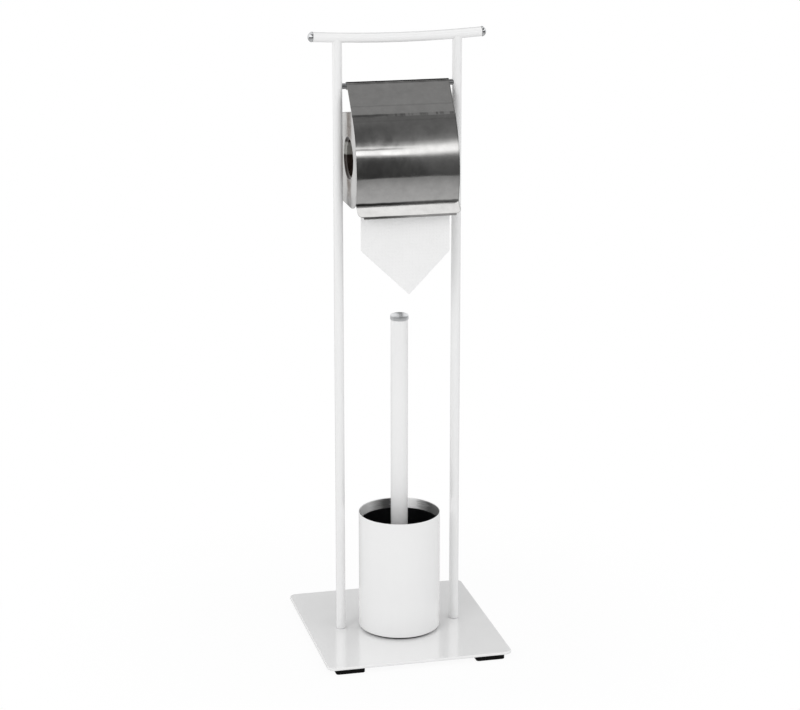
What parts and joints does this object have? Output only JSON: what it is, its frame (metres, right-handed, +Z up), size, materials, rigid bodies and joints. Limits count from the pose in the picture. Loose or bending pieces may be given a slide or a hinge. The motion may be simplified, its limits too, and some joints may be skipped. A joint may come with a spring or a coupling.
{
  "type": "toilet roll holder",
  "caption": "Free-standing white bathroom stand: posts on a flat plate carry a lidded steel toilet roll holder above a toilet brush in its cup.",
  "frame": {"origin": "on the floor under the middle of the base plate", "axes": "+Z up, -Y to the front where the lid opens and the paper hangs, +X to the right of a person facing it from the front"},
  "size_m": [0.2, 0.216, 0.6594],
  "materials": {
    "white_enamel": "gloss white enamel on steel",
    "polished_steel": "polished stainless steel sheet",
    "plain_steel": "plain zinc-plated steel",
    "chrome": "mirror chrome",
    "black_rubber": "matt black rubber",
    "black_plastic": "satin black plastic",
    "white_plastic": "satin white plastic",
    "tissue": "soft embossed white tissue",
    "cardboard": "plain brown board",
    "bristle": "white nylon bristle"
  },
  "bodies": {
    "stand": {"base_plate": "white_enamel", "foot_pad_front_left": "black_rubber", "foot_pad_front_right": "black_rubber", "foot_pad_rear_left": "black_rubber", "foot_pad_rear_right": "black_rubber", "post_left": "white_enamel", "post_right": "white_enamel", "post_plug_left": "plain_steel", "post_plug_right": "plain_steel", "base_screw_left": "plain_steel", "base_screw_right": "plain_steel", "top_bar": "white_enamel", "bar_cap_left": "chrome", "bar_cap_right": "chrome", "hinge_rod": "chrome", "roll_bracket": "polished_steel", "hanger": "polished_steel", "hanger_rivet_left": "plain_steel", "hanger_rivet_right": "plain_steel", "paper_tail": "tissue"},
    "lid": {"lid": "polished_steel"},
    "roll": {"paper_core": "cardboard", "paper_roll": "tissue"},
    "cup": {"brush_cup": "white_enamel", "cup_foot_ring": "black_rubber", "cup_liner": "black_plastic"},
    "brush": {"brush_handle": "white_enamel", "handle_cap": "chrome", "brush_neck": "white_plastic", "brush_core": "white_plastic", "bristles": "bristle"}
  },
  "joints": [
    {"name": "lid_hinge", "type": "hinge", "parent": "stand", "child": "lid", "pos_m": [0, 0, 0.6025], "axis": [-1, 0, 0], "range_deg": [0, 115]},
    {"name": "roll_spin", "type": "hinge", "parent": "stand", "child": "roll", "pos_m": [-0.002, 0, 0.526], "axis": [1, 0, 0], "continuous": true},
    {"name": "cup_slide", "type": "slide", "parent": "stand", "child": "cup", "axis": [0, -1, 0], "range_m": [0, 0.055]},
    {"name": "brush_lift", "type": "slide", "parent": "cup", "child": "brush", "axis": [0, 0, 1], "range_m": [0, 0.11]}
  ]
}
